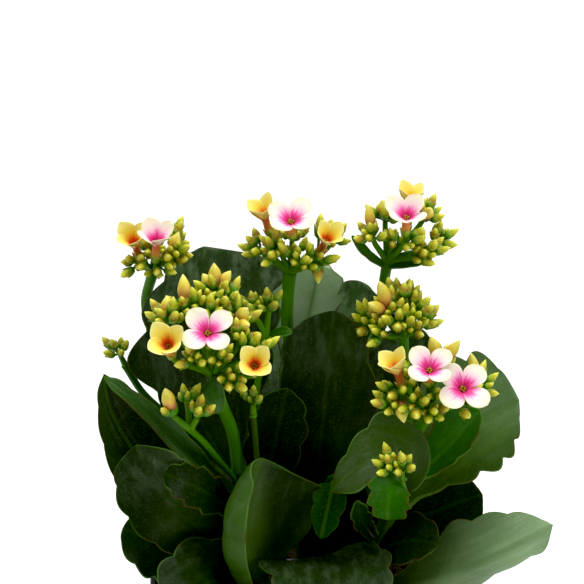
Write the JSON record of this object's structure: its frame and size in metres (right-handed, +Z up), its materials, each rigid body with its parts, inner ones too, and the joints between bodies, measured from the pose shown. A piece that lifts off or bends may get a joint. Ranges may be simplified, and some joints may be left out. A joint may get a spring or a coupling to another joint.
{
  "type": "potted kalanchoe",
  "caption": "Free-standing potted kalanchoe: fleshy scalloped leaves and forked heads of pointed buds and four-petalled flowers in a round nursery pot.",
  "frame": {"origin": "middle of the pot's round foot, on the surface the pot stands on", "axes": "+Z up along the pot's axis, -Y the front that the picture shows, +X to the right seen from the front"},
  "size_m": [0.1774, 0.1412, 0.271],
  "materials": {
    "pot_plastic": "satin",
    "soil": "matte",
    "stem": "satin",
    "leaf_dark": "gloss",
    "leaf_grey": "satin",
    "leaf_young": "satin",
    "flower_head": "satin",
    "petal_white": "matte",
    "petal_yellow": "matte"
  },
  "bodies": {
    "root": {"pot": "pot_plastic", "soil": "soil", "stem_left": "stem", "stem_centre": "stem", "stem_right": "stem", "leaf_back_left": "leaf_dark", "leaf_back_keeled": "leaf_grey", "leaf_back_centre": "leaf_dark", "leaf_middle": "leaf_dark", "leaf_middle_right": "leaf_grey", "leaf_right": "leaf_grey", "leaf_rim_right": "leaf_grey", "leaf_low_right": "leaf_dark", "leaf_flower_right": "leaf_young", "leaf_low_middle": "leaf_dark", "leaf_front_boat": "leaf_grey", "leaf_round_left": "leaf_dark", "leaf_far_left": "leaf_grey", "leaf_under_left": "leaf_dark", "leaf_low_left": "leaf_dark", "leaf_small_left": "leaf_dark", "leaf_strap_left": "leaf_young", "leaf_behind_stalk": "leaf_dark", "leaf_inner_left": "leaf_dark", "leaf_back_right": "leaf_dark", "leaf_shoot_left": "leaf_young", "leaf_shoot_right": "leaf_young", "leaf_low_front_right": "leaf_dark", "leaf_low_inner": "leaf_dark", "leaf_rear_left": "leaf_dark", "leaf_rear_middle": "leaf_dark", "leaf_rear_high": "leaf_dark", "leaf_rear_right": "leaf_dark", "head_back_left": "flower_head", "flower_back_left_1": "petal_yellow", "flower_back_left_2": "petal_white", "head_back_middle": "flower_head", "flower_back_middle_1": "petal_yellow", "flower_back_middle_2": "petal_white", "flower_back_middle_3": "petal_yellow", "head_back_right": "flower_head", "flower_back_right_1": "petal_yellow", "flower_back_right_2": "petal_white", "head_front_left": "flower_head", "flower_front_left_1": "petal_white", "flower_front_left_2": "petal_yellow", "flower_front_left_3": "petal_yellow", "head_front_right": "flower_head", "flower_front_right_1": "petal_yellow", "flower_front_right_2": "petal_white", "flower_front_right_3": "petal_white", "head_middle_right": "flower_head", "head_far_left": "flower_head", "head_low_left": "flower_head", "head_small_left": "flower_head", "head_small_middle": "flower_head", "head_small_back": "flower_head", "head_small_right": "flower_head"}
  },
  "joints": []
}
